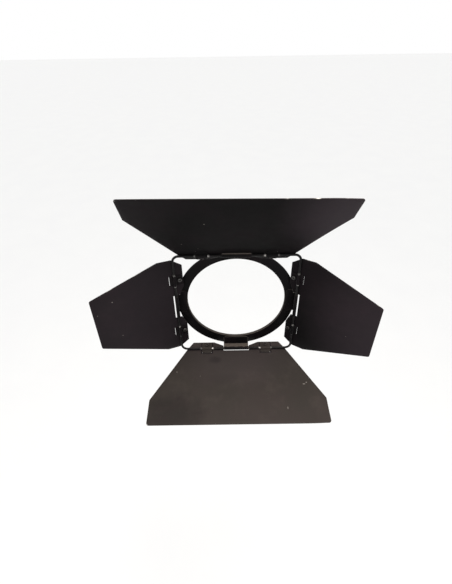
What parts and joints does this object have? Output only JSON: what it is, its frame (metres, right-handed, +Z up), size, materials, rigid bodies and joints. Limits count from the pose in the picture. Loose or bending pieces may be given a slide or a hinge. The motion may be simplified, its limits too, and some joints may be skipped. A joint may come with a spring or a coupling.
{
  "type": "barn door attachment",
  "caption": "Hinged sheet-metal leaves on a square rod loop, carried by a round mounting ring that drops into a stage lantern's accessory runners to shape its beam.",
  "frame": {"origin": "on the beam axis, in the back face of the mounting ring", "axes": "the beam leaves along -Y, so +Y points back into the lantern; +Z is up and +X is to the right as seen from the front"},
  "size_m": [0.441, 0.161, 0.356],
  "materials": {
    "ring_paint": "matt black paint, thin and slightly rubbed",
    "strap_paint": "matt black paint over spot-welded strip",
    "rod_paint": "black paint worn to bright steel beside the clips",
    "leaf_paint": "matt heat-resistant black paint, chipped at the edges",
    "clip_paint": "matt black paint on folded strip",
    "screw_steel": "dulled zinc-plated steel"
  },
  "bodies": {
    "frame": {"mounting_ring": "ring_paint", "hinge_rod": "rod_paint", "strap_top": "strap_paint", "strap_right": "strap_paint", "strap_bottom": "strap_paint", "strap_left": "strap_paint"},
    "top_leaf": {"leaf_top": "leaf_paint", "clip_top_a": "clip_paint", "clip_top_b": "clip_paint", "screws_top": "screw_steel", "washers_top": "screw_steel", "nuts_top": "screw_steel"},
    "right_leaf": {"leaf_right": "leaf_paint", "clip_right_a": "clip_paint", "clip_right_b": "clip_paint", "screws_right": "screw_steel", "washers_right": "screw_steel", "nuts_right": "screw_steel"},
    "bottom_leaf": {"leaf_bottom": "leaf_paint", "clip_bottom_a": "clip_paint", "clip_bottom_b": "clip_paint", "screws_bottom": "screw_steel", "washers_bottom": "screw_steel", "nuts_bottom": "screw_steel"},
    "left_leaf": {"leaf_left": "leaf_paint", "clip_left_a": "clip_paint", "clip_left_b": "clip_paint", "screws_left": "screw_steel", "washers_left": "screw_steel", "nuts_left": "screw_steel"}
  },
  "joints": [
    {"name": "top_hinge", "type": "hinge", "parent": "frame", "child": "top_leaf", "pos_m": [0, -0.0175, 0.1], "axis": [1, 0, 0], "range_deg": [-31.8, 78.2]},
    {"name": "right_hinge", "type": "hinge", "parent": "frame", "child": "right_leaf", "pos_m": [0.1, -0.0175, 0], "axis": [0, 0, -1], "range_deg": [-34, 101]},
    {"name": "bottom_hinge", "type": "hinge", "parent": "frame", "child": "bottom_leaf", "pos_m": [0, -0.0175, -0.1], "axis": [-1, 0, 0], "range_deg": [-78.2, 31.8]},
    {"name": "left_hinge", "type": "hinge", "parent": "frame", "child": "left_leaf", "pos_m": [-0.1, -0.0175, 0], "axis": [0, 0, 1], "range_deg": [-20.8, 114.2]}
  ]
}
